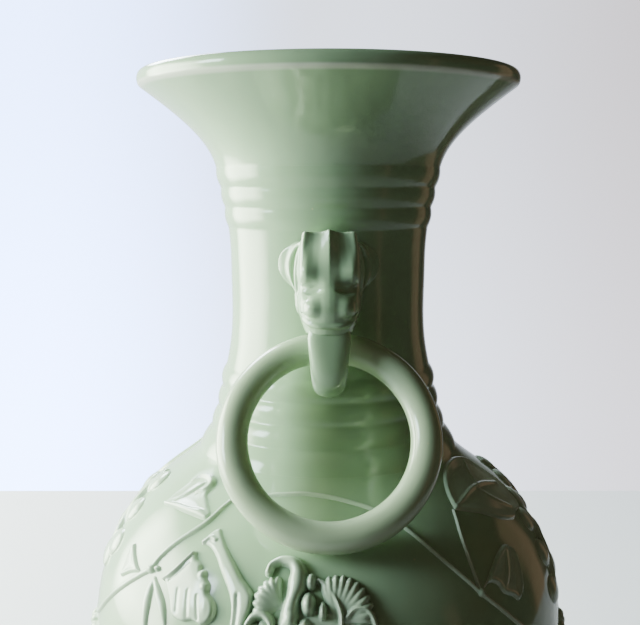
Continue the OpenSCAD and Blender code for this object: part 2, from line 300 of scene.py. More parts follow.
class Sheet:
    """The drawing grid of one sprig. Heights are added to it, highest showing."""

    def __init__(self, turn, down, wide, tall):
        self.turn, self.down = turn, down
        z = np.interp(SHOULDER_S - down, CURVE_S, CURVE_Z)
        self.per_degree = math.radians(1) * plain_r(z)
        u = np.arange(-wide / 2, wide / 2 + GRID, GRID)
        v = np.arange(-tall / 2, tall / 2 + GRID, GRID)
        self.u, self.v = np.meshgrid(u, v, indexing="xy")
        self.h = np.full(self.u.shape, EMPTY)

    def local(self, points):
        """Points given as (turn, down, ...) on this sheet, in mm."""
        p = np.array(points, float)
        p[:, 0] = (p[:, 0] - self.turn) * self.per_degree
        p[:, 1] = self.down - p[:, 1]
        return p

    def add(self, height, fillet=0.8):
        """A shape joined to what is there, with a fillet where they meet."""
        self.h = smooth_max(self.h, height, fillet)

    def roll(self, points, fillet=0.8):
        """A roll of clay along (turn, down, half width, height)."""
        path = curve(self.local(points))
        dist, where = nearest(self.u, self.v, path)
        width = np.interp(where, np.arange(len(path)), path[:, 2])
        high = np.interp(where, np.arange(len(path)), path[:, 3])
        q = dist / width
        top = high * np.maximum(1 - q * q, 0) ** 0.65
        self.add(np.where(q < 1, top, -(dist - width) * 0.8), fillet)

    def outline(self, points):
        """Distance in from a closed smooth outline of (turn, down) points."""
        p = self.local(points)
        path = curve(np.concatenate([p, p[:1]]), 5)[:-1]
        dist, _ = nearest(self.u, self.v, path, closed=True)
        inside = np.zeros(self.u.shape, bool)
        for a, b in zip(path, np.roll(path, -1, 0)):
            crosses = (a[1] > self.v) != (b[1] > self.v)
            at = a[0] + (self.v - a[1]) * (b[0] - a[0]) / (b[1] - a[1] + 1e-12)
            inside ^= crosses & (self.u < at)
        return np.where(inside, dist, -dist)

    def pad(self, points, high, rim=0.5, dish=0.5, edge=0.9, lean=0.0):
        """A flat pad with a raised rim and a dished middle; lean lifts its right side."""
        d = self.outline(points)
        lift = lean * (self.u - self.local(points)[:, 0].mean())
        top = (high + lift) * (1 - np.exp(-np.maximum(d, 0) / edge))
        top += rim * np.exp(-((d - 1.3) / 0.8) ** 2) - dish * ease((d - 1.5) / 5)
        self.add(np.where(d > 0, top, d * 0.8))

    def groove(self, points, deep=0.8):
        """A cut along (turn, down, half width)."""
        path = curve(self.local(points))
        dist, where = nearest(self.u, self.v, path)
        width = np.interp(where, np.arange(len(path)), path[:, 2])
        self.h -= deep * np.exp(-(dist / width) ** 2)

    def blob(self, turn, down, wide, tall, high, tilt=0.0, fillet=0.8):
        """A rounded button of clay."""
        (u0, v0), = self.local([(turn, down)])
        a = math.radians(tilt)
        x = (self.u - u0) * math.cos(a) + (self.v - v0) * math.sin(a)
        y = (self.v - v0) * math.cos(a) - (self.u - u0) * math.sin(a)
        q = np.hypot(x / wide, y / tall)
        top = high * np.maximum(1 - q * q, 0) ** 0.6
        self.add(np.where(q < 1, top, (1 - q) * min(wide, tall)), fillet)

    def fan(self, turn, down, reach, start, stop, ribs, high):
        """A ruffled petal: ribs spread from a point, from start to stop degrees."""
        (u0, v0), = self.local([(turn, down)])
        dist = np.hypot(self.u - u0, self.v - v0)
        angle = np.degrees(np.arctan2(self.v - v0, self.u - u0))
        middle = (start + stop) / 2
        angle = (angle - middle + 180) % 360 - 180
        half = abs(stop - start) / 2
        wave = np.abs(np.cos(np.pi * (angle + half) / (2 * half) * ribs + np.pi / 2))
        edge = reach * (0.92 + 0.08 * wave) * (1 - 0.12 * (angle / half) ** 2)
        q = dist / edge
        rib = 0.87 + 0.13 * wave * ease((q - 0.15) / 0.5)
        body = (0.25 + 0.75 * ease(q / 0.75)) * rib
        rim = np.maximum(1 - np.maximum(q - 0.72, 0) ** 2 / 0.0784, 0) ** 0.55
        side = (half - np.abs(angle)) * np.radians(1) * np.maximum(dist, 1)
        top = high * body * rim * (1 - np.exp(-np.maximum(side, 0) / 1.2))
        out = np.minimum((1 - q) * reach, side)
        self.add(np.where(out > 0, top, out * 0.8))

    def mesh(self):
        """The closed mesh of what stands above the body."""
        keep = self.h > UNDER
        rows, cols = self.h.shape
        quads = grid_faces(rows, cols)
        quads = quads[keep.ravel()[quads].any(1)]
        used = np.unique(quads)
        index = np.full(rows * cols, -1)
        index[used] = np.arange(len(used))
        quads = index[quads]
        turn = self.turn + self.u.ravel()[used] / self.per_degree
        down = self.down - self.v.ravel()[used]
        high = np.maximum(self.h.ravel()[used], UNDER * 1.6)
        n = len(used)
        top = on_body(turn, down, high)
        bottom = on_body(turn, down, np.full(n, UNDER * 3))
        edges = np.concatenate([quads[:, [i, (i + 1) % 4]] for i in range(4)])
        key = edges[:, 0] * n + edges[:, 1]
        back = edges[:, 1] * n + edges[:, 0]
        border = edges[~np.isin(key, back)]
        sides = np.stack([border[:, 1], border[:, 0], border[:, 0] + n, border[:, 1] + n], -1)
        verts = np.concatenate([top, bottom])
        faces = np.concatenate([quads, quads[:, ::-1] + n, sides])
        return verts, faces


# ---------------------------------------------------------------- sprigs
def draw_bloom(s, turn, down, size=1.0):
    """The lower part of a blossom: a heart of stamens inside ruffled petals."""
    k = size / s.per_degree

    def at(distance, direction):
        a = math.radians(direction)
        return turn + distance * math.cos(a) * k, down - distance * math.sin(a) * size

    s.blob(turn, down, 30 * size, 30 * size, 2.6)
    for direction in (25, -35, -90, -145, 155):
        s.fan(*at(13, direction), 25 * size, direction - 42, direction + 42, 6, 3.6)
    for direction in (-5, -62, -118, -175):
        s.fan(*at(6, direction), 18 * size, direction - 40, direction + 40, 5, 5.0)
    for direction in range(0, 360, 60):
        s.blob(*at(5, direction), 2.4 * size, 3.0 * size, 6.2, tilt=direction)
    s.blob(turn, down, 3 * size, 3 * size, 7.0)


def peony():
    """The big blossom over the front, its upper petals curled and overlapping."""
    s = Sheet(-3, 88, 94, 98)
    draw_bloom(s, -4, 97)
    s.fan(0.8, 71.5, 21.5, -8, 114, 11, 4.0)
    s.roll([(-2.6, 53.4, 1.0, 2.6), (-0.2, 57.2, 1.4, 3.4), (1.6, 63, 1.5, 3.9), (2.4, 69.1, 1.5, 3.9),
            (2.4, 78, 1.4, 3.2)])
    s.roll([(3.6, 69.4, 1.2, 3.4), (5.1, 66.4, 1.5, 4.2), (7.3, 66.2, 1.7, 4.4), (8.8, 68.8, 1.9, 4.3),
            (9.6, 73, 1.7, 3.4)])
    s.fan(-10.6, 66, 15.5, 98, 214, 8, 3.9)
    s.roll([(-18.2, 78, 1.5, 3.0), (-17.6, 74.4, 1.8, 4.0), (-16.4, 70.8, 2.0, 4.4), (-14.4, 69.8, 2.0, 4.4),
            (-12.6, 73, 2.0, 4.2), (-12.2, 79, 1.9, 3.6)])
    s.roll([(-14.7, 51, 2.2, 3.8), (-14.2, 47.6, 1.9, 3.8), (-11.8, 45.2, 2.3, 4.2), (-9.0, 46, 3.2, 4.8),
            (-7.6, 50, 4.6, 5.0), (-7.5, 55.6, 5.2, 5.2), (-8.1, 61, 3.8, 4.8), (-8.6, 66, 4.2, 4.8),
            (-8.8, 74, 5.4, 4.6)], 1.4)
    s.blob(-4.4, 54.4, 2.8, 4.0, 4.8, fillet=1.4)
    s.blob(-4.8, 64, 3.6, 5.4, 5.8, fillet=1.4)
    s.blob(-1.6, 66.8, 2.0, 4.2, 5.0)
    s.blob(-8.4, 70.5, 3.8, 4.6, 5.6, fillet=1.4)
    s.blob(-5.4, 74, 3.2, 4.2, 5.6)
    return s


def side_peony():
    """A smaller blossom low on the side."""
    s = Sheet(90, 133, 76, 76)
    draw_bloom(s, 90, 133, 0.9)
    return s


def lobed_leaf():
    """A leaf with three plump lobes down its right side."""
    s = Sheet(-35, 66, 46, 50)
    s.pad([(-36.3, 48.5), (-34.8, 51.2), (-33, 53), (-32.2, 55.8), (-30.2, 58.4), (-28.8, 61.6),
           (-28.6, 64.5), (-26.8, 67.6), (-25.9, 71.4), (-26.3, 76), (-28.4, 79.4), (-31, 78), (-33.7, 80),
           (-37, 78.6), (-38.8, 72.7), (-41.2, 66.9), (-42.4, 64.6), (-39.6, 59), (-37.6, 53)],
          2.5, rim=0.25, dish=-0.1, edge=0.8, lean=0.06)
    for lobe in ((-31.6, 57.4, 2.2, 2.6, 3.1), (-30, 62.4, 2.6, 2.8, 3.3), (-28.2, 71.4, 3.2, 6.0, 3.3)):
        s.blob(*lobe, tilt=12)
    s.roll([(-42.6, 64.6, 0.9, 2.2), (-39.8, 59, 1.5, 3.1), (-36.6, 49, 1.1, 2.8)])
    for vein in ([(-36.8, 67, 0.9), (-35.6, 76, 0.9)], [(-33.8, 66, 0.9), (-32.4, 77, 0.9)],
                 [(-30.9, 67, 0.7), (-29.4, 76.6, 0.7)], [(-40.6, 64, 0.6), (-36.4, 53.4, 0.6)]):
        s.groove(vein, 0.55)
    return s


def blade_leaf():
    """A long blade bending down to the big blossom, rolled over at its tip."""
    s = Sheet(-26, 58, 56, 62)
    s.pad([(-35.8, 43.0), (-34.8, 37.4), (-32.5, 34), (-30.8, 36.9), (-28.4, 41.5), (-26.0, 45.8),
           (-23.2, 51), (-20.6, 56.1), (-18.5, 59.6), (-17.2, 63.1), (-17.2, 68.6), (-17.8, 74),
           (-18.2, 82), (-21.6, 84), (-21.9, 73.2), (-22.4, 67.7), (-23.6, 62.4), (-25.4, 57.8),
           (-27.4, 53.2), (-29.8, 47.9), (-32.5, 44.2)], 2.6, rim=0.15, dish=0.0, edge=0.8, lean=0.09)
    s.roll([(-35.4, 42.6, 1.0, 1.8), (-33.6, 39.6, 1.4, 2.4), (-31.6, 40.4, 1.4, 2.6)])
    s.groove([(-21, 63, 0.7), (-20.4, 69, 1.1), (-20.2, 80, 1.3)], 0.9)
    return s


def curl_leaf():
    """A leaf whose tip curls back over itself, high on the left."""
    s = Sheet(-50, 20, 62, 42)
    s.pad([(-61.0, 32.8), (-54.2, 31.4), (-47.5, 31.0), (-39.7, 32), (-38.4, 28.5), (-41, 24.6),
           (-45.4, 18.4), (-46.2, 12.4), (-51.1, 9), (-55.4, 9.6), (-57.8, 13.8), (-59.2, 20.3),
           (-60.4, 26.9)], 1.3, rim=0.25, dish=0.5)
    s.roll([(-60.6, 32.4, 1.0, 1.6), (-54.2, 30.6, 1.5, 2.2), (-47.5, 30, 1.8, 2.5), (-42.6, 29.4, 2.4, 2.6),
            (-39.4, 30.4, 1.6, 2.0)])
    s.roll([(-57.2, 15, 1.2, 1.7), (-54.8, 10.6, 1.5, 2.2), (-50.6, 9.6, 1.7, 2.5), (-47, 12, 1.7, 2.7),
            (-47.6, 17, 1.4, 2.2), (-50.4, 20, 1.0, 1.6)])
    s.roll([(-57, 30, 1.0, 1.4), (-53.4, 22, 1.4, 1.8), (-50.6, 14, 1.2, 1.8)])
    return s


def small_leaf():
    """A small dished leaf beside the left vine."""
    s = Sheet(-57, 66, 26, 26)
    s.pad([(-61.2, 57), (-58.4, 60.6), (-55, 64.4), (-52.6, 67), (-56, 70), (-60.4, 75), (-60.8, 68),
           (-61.8, 62)], 1.4, rim=0.6, dish=0.7)
    return s


def bud():
    """A hanging bud, split into two slim halves."""
    s = Sheet(-42.6, 79, 30, 34)
    s.roll([(-46.2, 66.4, 1.1, 1.0), (-46.3, 72.4, 2.5, 1.7), (-45.9, 79.4, 2.8, 1.8),
            (-44.6, 92, 1.5, 1.2)])
    s.roll([(-45.8, 66.6, 1.1, 1.0), (-42.8, 72.5, 2.5, 1.8), (-40.6, 77.1, 2.5, 1.8),
            (-38.8, 83.4, 1.3, 1.2)])
    return s


def left_vine():
    """The stem on the left, from low on the side up towards the shoulder line."""
    s = Sheet(-52, 58, 96, 104)
    s.roll([(-72, 104, 1.0, 1.0), (-69, 99, 1.4, 1.5), (-60, 82, 1.5, 1.6), (-53, 70, 1.5, 1.7),
            (-48.5, 63, 1.6, 1.8)])
    s.roll([(-48.5, 63, 1.5, 1.7), (-47.4, 56, 1.4, 1.6), (-44, 46, 1.5, 1.6), (-38, 33, 1.6, 1.7),
            (-35.4, 22, 1.4, 1.4), (-33, 14, 1.0, 1.0)])
    s.blob(-48.5, 63, 2.8, 2.3, 2.6)
    s.blob(-46.4, 61.6, 1.8, 1.5, 2.2)
    return s


def top_vine():
    """The stem that arches over the top of the shoulder to the right."""
    s = Sheet(8, 38, 130, 72)
    s.roll([(-24, 15, 1.0, 0.9), (-21, 11.4, 1.2, 1.2), (-14, 9.6, 1.2, 1.3), (-7, 9, 1.2, 1.3),
            (2, 11, 1.2, 1.3), (9, 14.6, 1.2, 1.3), (14, 18.4, 1.2, 1.3), (19, 25, 1.1, 1.2),
            (23.5, 33, 1.1, 1.2), (30.6, 51, 1.1, 1.2), (35.6, 63.5, 1.1, 1.1)])
    return s


def right_vine():
    """The stem on the right, with a branch up to the wide leaf."""
    s = Sheet(44, 66, 52, 82)
    s.roll([(35.4, 63, 1.1, 1.1), (37.4, 68.5, 1.1, 1.2), (42.6, 79.7, 1.1, 1.2), (47, 89, 1.1, 1.2),
            (54, 102, 1.0, 1.0)])
    s.roll([(37.3, 68, 1.0, 1.1), (37.5, 54, 0.9, 1.0), (38.8, 40, 0.9, 1.0), (41.6, 27.4, 0.9, 1.0)])
    s.blob(37.4, 68, 2.0, 2.4, 1.9)
    return s


def pointed_leaf():
    """A leaf on the right, its point hanging down."""
    s = Sheet(49, 66, 52, 38)
    s.pad([(38.4, 67), (41, 65.4), (43.2, 67.6), (44.4, 72.4), (47.1, 75.7), (49, 78.9), (51.6, 75.7),
           (53.4, 70.6), (54.9, 63.6), (55.6, 57.3), (53.2, 52.5), (48.4, 54.2), (43.6, 59.4)],
          1.1, rim=0.6, dish=0.5, edge=0.7)
    s.roll([(45, 71, 0.9, 0.9), (48, 65, 1.6, 1.3), (51.6, 56, 1.0, 0.9)], 1.2)
    return s


def wide_leaf():
    """The broad leaf high on the right, with a midrib and two side veins."""
    s = Sheet(61, 24, 82, 58)
    s.pad([(42.4, 27), (44, 18.5), (47.4, 11), (51.4, 6), (56, 3), (61.4, 1.6), (68, 2), (75.1, 5.4),
           (78, 10.6), (79.8, 20.9), (81, 31), (79.6, 41), (76.3, 46.6), (71, 45), (66.4, 46.4),
           (59.6, 42.4), (55.8, 38.5), (51.8, 34), (47, 30.4)], 1.3, rim=0.4, dish=0.5, edge=1.2)
    s.roll([(44, 25.6, 0.9, 1.0), (56, 21, 1.3, 1.3), (66, 22, 1.3, 1.4), (76, 28, 1.0, 1.0)], 1.6)
    s.roll([(62, 22, 0.9, 0.9), (66, 13, 1.0, 1.1), (72, 7, 0.8, 0.9)], 1.6)
    s.roll([(60, 22, 0.9, 0.9), (64, 32, 1.0, 1.1), (70, 41, 0.8, 0.9)], 1.6)
    return s


def scalloped_spray(turn, down, lean):
    """A leaf with deep round lobes, as at the sides of the shoulder."""
    s = Sheet(turn, down, 44, 62)
    for step in range(6):
        v = -24 + 9.4 * step
        side = 1 if step % 2 else -1
        across = (lean * v * 0.25 + side * 5.4) / s.per_degree
        s.blob(turn + across, down - v, 8.8, 7.6, 2.5, tilt=side * 35, fillet=1.4)
    s.roll([(turn - lean * 7 / s.per_degree, down + 29, 1.2, 1.4), (turn, down, 2.2, 3.0),
            (turn + lean * 7 / s.per_degree, down - 29, 1.2, 1.6)])
    return s


def right_spray():
    """The spray at the right side."""
    return scalloped_spray(76, 66, 1)


def left_spray():
    """The spray at the left side."""
    return scalloped_spray(-80, 52, -1)


def veined_leaf(s, turn, down, long, wide, direction):
    """A leaf pointing along direction degrees, with wavy edges, a midrib and side veins."""
    a = math.radians(direction)
    along = np.array([math.cos(a) / s.per_degree, -math.sin(a)])
    across = np.array([-math.sin(a) / s.per_degree, -math.cos(a)])
    root = np.array([turn, down]) - along * long / 2
    edge = [(0, 0), (0.12, 0.3), (0.24, 0.5), (0.33, 0.4), (0.46, 0.52), (0.56, 0.38), (0.68, 0.42),
            (0.8, 0.24), (1, 0)]
    line = [root + along * long * t + across * wide * w for t, w in edge]
    line += [root + along * long * t - across * wide * w for t, w in edge[-2:0:-1]]
    s.pad(line, 1.9, rim=0.5, dish=0.6)
    s.roll([(*root, 1.2, 1.4), (*(root + along * long * 0.5), 1.2, 2.4), (*(root + along * long), 0.6, 1.6)])
    for t in (0.25, 0.42, 0.6):
        for side in (-1, 1):
            start = root + along * long * t
            stop = root + along * long * (t + 0.14) + across * wide * side * 0.34
            s.groove([(*start, 0.6), (*stop, 0.6)], 0.7)


def low_leaves():
    """Three veined leaves round and under the big blossom, one sheet each."""
    sheets = []
    for turn, down, direction in ((-40, 133, 50), (36, 135, 130), (-4, 166, 90)):
        s = Sheet(turn, down, 56, 56)
        veined_leaf(s, turn, down, 46, 30, direction)
        sheets.append(s)
    return sheets


SPRIGS = {"peony": peony, "side_peony": side_peony, "lobed_leaf": lobed_leaf, "blade_leaf": blade_leaf,
          "curl_leaf": curl_leaf, "small_leaf": small_leaf, "bud": bud, "left_vine": left_vine,
          "top_vine": top_vine, "right_vine": right_vine, "pointed_leaf": pointed_leaf,
          "wide_leaf": wide_leaf, "right_spray": right_spray, "left_spray": left_spray,
          "low_leaves": low_leaves}


def sprig_pieces():
    """Both copies of every sprig, the back one turned half way round."""
    pieces = {}
    for name, draw in SPRIGS.items():
        sheets = draw()
        parts = [sheet.mesh() for sheet in (sheets if isinstance(sheets, list) else [sheets])]
        verts = np.concatenate([v for v, _ in parts])
        starts = np.cumsum([0] + [len(v) for v, _ in parts[:-1]])
        faces = np.concatenate([f + start for (_, f), start in zip(parts, starts)])
        for side, sign in (("front_", 1), ("back_", -1)):
            pieces[side + name] = new_mesh(f"{side}{name}_relief", verts * [sign, sign, 1], faces)
    return pieces


# ---------------------------------------------------------------- masks, by a distance field
# Worked out in (across, out from the axis, height), in mm, and turned to its side at the end.
TUBE_OUT, TUBE_Z = -frame["joints"][0]["pos_m"][1] / MM, frame["joints"][0]["pos_m"][2] / MM
CHIN_Z, CROWN_Z = low_mm("front_head")[2], top_mm("front_head")[2]
NOSE = -low_mm("front_head")[1]
VOXEL = 0.5
# The fillet where a mask meets the neck, and how deep its root goes in
ROOT_FILLET, ROOT_DEPTH = 3.0, 1.5
BAR_STEPS = 48
RING_BAR = 7.7


def smooth_min(a, b, k):
    """The smaller of a and b, with a fillet of size k where they meet."""
    return -smooth_max(-a, -b, k)


def ball(p, centre, radii, turn=0.0):
    """Distance to an ellipsoid, turned in the front plane; and to its mirror image across the middle."""
    a = math.radians(turn)
    x, y, z = np.abs(p[0]) - centre[0], p[1] - centre[1], p[2] - centre[2]
    x, z = x * math.cos(a) + z * math.sin(a), z * math.cos(a) - x * math.sin(a)
    k = np.sqrt((x / radii[0]) ** 2 + (y / radii[1]) ** 2 + (z / radii[2]) ** 2)
    rate = np.sqrt((x / radii[0] ** 2) ** 2 + (y / radii[1] ** 2) ** 2 + (z / radii[2] ** 2) ** 2)
    return k * (k - 1) / np.maximum(rate, 1e-6)


def rope(p, points, steps=5):
    """Distance to a round bar through (across, out, height, radius), and to its mirror image."""
    path = curve(points, steps)
    x = np.abs(p[0])
    best = np.full(x.shape, 1e9)
    for a, b in zip(path[:-1], path[1:]):
        d = b[:3] - a[:3]
        t = np.clip(((x - a[0]) * d[0] + (p[1] - a[1]) * d[1] + (p[2] - a[2]) * d[2]) / (d @ d), 0, 1)
        dist = np.sqrt((x - a[0] - t * d[0]) ** 2 + (p[1] - a[1] - t * d[1]) ** 2
                       + (p[2] - a[2] - t * d[2]) ** 2) - (a[3] + t * (b[3] - a[3]))
        best = np.minimum(best, dist)
    return best


def surface_net(field, low, step):
    """Points and quads where a field crosses zero: one point in each crossed cell."""
    shape = np.array(field.shape)
    cells = tuple(shape - 1)
    total, count = np.zeros(cells + (3,)), np.zeros(cells)
    number = np.arange(np.prod(cells)).reshape(cells)
    quads = []
    for axis in range(3):
        first = np.take(field, range(shape[axis] - 1), axis)
        second = np.take(field, range(1, shape[axis]), axis)
        cross = (first < 0) != (second < 0)
        where = np.argwhere(cross)
        point = where.astype(float)
        point[:, axis] += first[cross] / (first[cross] - second[cross])
        ring = []
        for da, db in ((0, 0), (1, 0), (1, 1), (0, 1)):
            cell = where.copy()
            cell[:, (axis + 1) % 3] -= da
            cell[:, (axis + 2) % 3] -= db
            cell = tuple(cell.T)
            np.add.at(total, cell, point)
            np.add.at(count, cell, 1)
            ring.append(number[cell])
        ring = np.stack(ring, -1)
        outside = first[cross] > 0
        ring[outside] = ring[outside][:, ::-1]
        quads.append(ring)
    quads = np.concatenate(quads)
    used = np.unique(quads)
    index = np.full(number.size, -1)
    index[used] = np.arange(len(used))
    points = total.reshape(-1, 3)[used] / count.ravel()[used][:, None]
    return points * step + low, index[quads]


def relaxed(points, quads, rounds):
    """Points moved towards the middle of their neighbours, and part of the way back, to even them."""
    a = np.concatenate([quads[:, i] for i in range(4)])
    b = np.concatenate([quads[:, (i + 1) % 4] for i in range(4)])
    count = np.bincount(a, minlength=len(points)) + np.bincount(b, minlength=len(points))
    for turn in range(rounds * 2):
        total = [np.bincount(a, points[b, i], len(points)) + np.bincount(b, points[a, i], len(points))
                 for i in range(3)]
        middle = np.stack(total, -1) / count[:, None]
        points = points + (0.5 if turn % 2 == 0 else -0.51) * (middle - points)
    return points


# The face from jaw to crown: its half width at each height, and how far out it stands there,
# from the middle line to the side
FACE_Z = (331, 336, 341, 346, 350, 353.5, 357, 361, 366, 372, 379)
FACE_HALF = (12.0, 13.6, 15.0, 15.4, 14.9, 14.8, 15.2, 15.2, 14.6, 13.9, 12.8)
FACE_SHARE = (0, 0.15, 0.35, 0.55, 0.75, 0.92, 1.0)
FACE_OUT = ((81.2, 81.2, 80.8, 80.0, 78.0, 73.5, 67.0), (83.4, 83.3, 82.6, 81.4, 79.0, 74.6, 68.6),
            (85.0, 84.9, 84.2, 83.0, 81.0, 77.2, 70.6), (85.4, 85.2, 84.3, 82.8, 80.8, 77.0, 70.8),
            (82.8, 82.5, 81.2, 79.2, 77.2, 74.2, 70.0), (79.0, 78.7, 76.6, 74.6, 73.4, 71.8, 69.2),
            (78.0, 77.7, 76.8, 77.0, 77.0, 75.0, 70.4), (77.3, 76.9, 76.4, 77.2, 77.8, 75.8, 71.4),
            (76.8, 76.1, 74.9, 74.6, 75.0, 74.0, 71.4), (76.0, 74.9, 73.2, 72.2, 72.0, 72.4, 71.0),
            (74.2, 72.9, 71.4, 71.0, 71.6, 72.4, 71.2))


def face_front(share, z):
    """How far out the face stands, smoothly between the heights above."""
    fine = 0.5
    fine_z, fine_share = np.arange(328, 381, fine), np.linspace(0, 1, 41)
    rows = np.stack([np.interp(fine_share, FACE_SHARE, row) for row in FACE_OUT])
    rows = np.stack([blurred(np.interp(fine_z, FACE_Z, column), 2.6) for column in rows.T], -1)
    rows[:, 1:] = np.stack([blurred(row, 1.6)[1:] for row in rows])
    i = np.clip((z - fine_z[0]) / fine, 0, len(fine_z) - 1.001)
    j = np.clip(share, 0, 1) * (len(fine_share) - 1.001)
    i0, j0 = i.astype(int), j.astype(int)
    i, j = i - i0, j - j0
    return ((rows[i0, j0] * (1 - i) + rows[i0 + 1, j0] * i) * (1 - j)
            + (rows[i0, j0 + 1] * (1 - i) + rows[i0 + 1, j0 + 1] * i) * j)


def mask_field(p):
    """The beast's head: a ridged brow, heavy lids, folded cheeks, a broad muzzle and a lip."""
    x, y, z = np.abs(p[0]), p[1], p[2]
    half = np.interp(z, FACE_Z, FACE_HALF)
    skull = smooth_max((y - face_front(x / half, z)) * 0.78, (x - half) * 0.95, 1.2)
    ends = np.maximum(z - CROWN_Z - 0.1 + 0.45 * (71 - y), 331.0 - z + 0.4 * np.maximum(70 - y, 0))
    skull = smooth_max(skull, ends, 0.6)
    d = smooth_min(skull, ball(p, (0, 57, 356), (15.8, 14, 21.5)), 1.5)
    # Nostrils and the lip
    d = smooth_min(d, ball(p, (7.6, 79.4, 343.6), (4.2, 5.2, 4.6), 14), 2.4)
    d = smooth_min(d, rope(p, [(-0.5, 83.4, 335.4, 1.0), (5, 82.8, 335.6, 1.2), (9.2, 80.0, 336.4, 1.3),
                               (12, 76.6, 338.2, 1.0)]), 0.9)
    # Folds: beside the nose, from under the eye, over and under the lip, and above the lid
    folds = ([(5.4, 83.4, 351.2, 0.3), (9.8, 81.4, 349.4, 0.5), (12.8, 79.4, 345.6, 0.5),
              (12.6, 79.4, 341.6, 0.3)],
             [(2.2, 81.4, 353.2, 0.5), (5.4, 79.4, 351.8, 1.2), (9.0, 77.8, 351.0, 1.3),
              (12.8, 75.4, 351.0, 0.8)],
             [(-0.5, 85.5, 338.0, 0.4), (5, 84.6, 338.2, 0.6), (9.6, 81.8, 339.2, 0.6),
              (13, 77.0, 341.2, 0.4)],
             [(-0.5, 83.6, 332.8, 0.5), (5, 83.2, 333.0, 0.7), (9.6, 80.4, 333.8, 0.7),
              (12.4, 75.6, 335.4, 0.4)],
             [(5.0, 77.6, 355.8, 0.3), (9.2, 77.8, 355.0, 0.5), (13.0, 75.8, 355.8, 0.4)])
    for fold in folds:
        d = -smooth_min(-d, rope(p, fold), 0.8)
    # The lower lid
    d = smooth_min(d, rope(p, [(5.2, 76.0, 354.4, 0.3), (9.2, 75.2, 353.4, 0.7),
                               (13.0, 73.4, 354.2, 0.5)]), 0.5)
    # Ears that lie along the sides, and the mane, low on the neck behind
    d = smooth_min(d, rope(p, [(11.9, 66.5, 375, 0.8), (14.2, 65.6, 369, 1.4), (15.4, 64.6, 361, 1.6),
                               (15.6, 63.6, 354, 1.3), (15.2, 63, 348, 0.8)]), 1.0)
    d = smooth_min(d, ball(p, (0, 45.2, 362), (23.8, 8.2, 16.6)), 1.6)
    return smooth_min(d, rope(p, [(12.6, 56.0, 373.6, 1.0), (16.6, 52.2, 370, 1.2), (19.0, 50.2, 363, 1.3),
                                  (18.4, 50.8, 355, 1.2), (15.8, 53.6, 348.6, 0.8)]), 1.8)


def head_piece():
    """The mask with a glaze fillet round its root, as (points, quads)."""
    low = np.array([-29.0, NECK_R - 14, CHIN_Z - 6])
    high = np.array([29.0, NOSE + 6, CROWN_Z + 6])
    axes = [np.arange(a, b, VOXEL) for a, b in zip(low, high)]
    p = np.meshgrid(*axes, indexing="ij")
    mask = mask_field(p)
    neck = np.hypot(p[0], p[1]) - outer_r(p[2])
    field = smooth_min(mask, neck, ROOT_FILLET)
    field = np.maximum(np.maximum(field, mask - 0.55 * ROOT_FILLET), -(neck + ROOT_DEPTH))
    points, quads = surface_net(field, low, VOXEL)
    return relaxed(points, quads, 3), quads


def swept(path):
    """A bar along (out, height, half width, half thickness, squareness) in the middle plane."""
    along = np.gradient(path[:, :2], axis=0)
    along /= np.linalg.norm(along, axis=1)[:, None]
    normal = np.stack([-along[:, 1], along[:, 0]], -1)
    a = np.linspace(0, 2 * np.pi, BAR_STEPS, endpoint=False)
    c, s = np.cos(a), np.sin(a)
    power = 2 / path[:, 4:5]
    wide = path[:, 2:3] * np.sign(c) * np.abs(c) ** power
    thick = path[:, 3:4] * np.sign(s) * np.abs(s) ** power
    points = np.stack([wide, path[:, 0:1] + normal[:, 0:1] * thick,
                       path[:, 1:2] + normal[:, 1:2] * thick], -1)
    faces = grid_faces(len(path), BAR_STEPS, wrap_cols=True)
    last = (len(path) - 1) * BAR_STEPS
    ends = [list(range(BAR_STEPS)), list(range(last, last + BAR_STEPS))[::-1]]
    return points.reshape(-1, 3), [list(f) for f in faces] + ends


def tongue_piece():
    """The tongue, down in front of the ring's bar, under it and back into the neck."""
    path = [(69, 339, 8.0, 3.0, 2.6), (73, 335.5, 8.8, 3.4, 2.8), (76, 331, 10.0, 4.5, 2.9),
            (76.4, 327, 10.2, 4.8, 2.8), (76.3, 319, 9.4, 4.9, 2.5), (75.8, 312, 8.8, 5.2, 2.3),
            (73.4, 306.8, 8.2, 5.8, 2.1), (69, 304.8, 7.9, 6.1, 2.1), (63, 304.6, 7.7, 6.3, 2.1),
            (56, 304.8, 7.7, 6.3, 2.1), (48, 305, 7.7, 6.3, 2.1)]
    return swept(curve(path, 10))


def ring_piece():
    """A loose ring, its bar a little uneven as a hand-rolled bar is."""
    low, high = low_mm("front_ring"), top_mm("front_ring")
    radius = (high[0] - low[0]) / 2 - RING_BAR
    around, across = 256, 56
    a = np.linspace(0, 2 * np.pi, around, endpoint=False)[:, None]
    b = np.linspace(0, 2 * np.pi, across, endpoint=False)[None, :]
    thick = RING_BAR - 0.12 + 0.07 * np.sin(3 * a + 0.6) + 0.05 * np.sin(7 * a + 2.0)
    x = (radius + thick * np.cos(b)) * np.sin(a)
    z = (radius + thick * np.cos(b)) * np.cos(a) - radius
    y = thick * np.sin(b) + 0 * a
    lean = math.atan2(-(low[1] + high[1]) / 2 - TUBE_OUT, TUBE_Z - (low[2] + high[2]) / 2)
    out = TUBE_OUT + y * math.cos(lean) - z * math.sin(lean)
    up = TUBE_Z + z * math.cos(lean) + y * math.sin(lean)
    faces = grid_faces(around, across, wrap_rows=True, wrap_cols=True)
    return np.stack([x, out, up], -1).reshape(-1, 3), faces


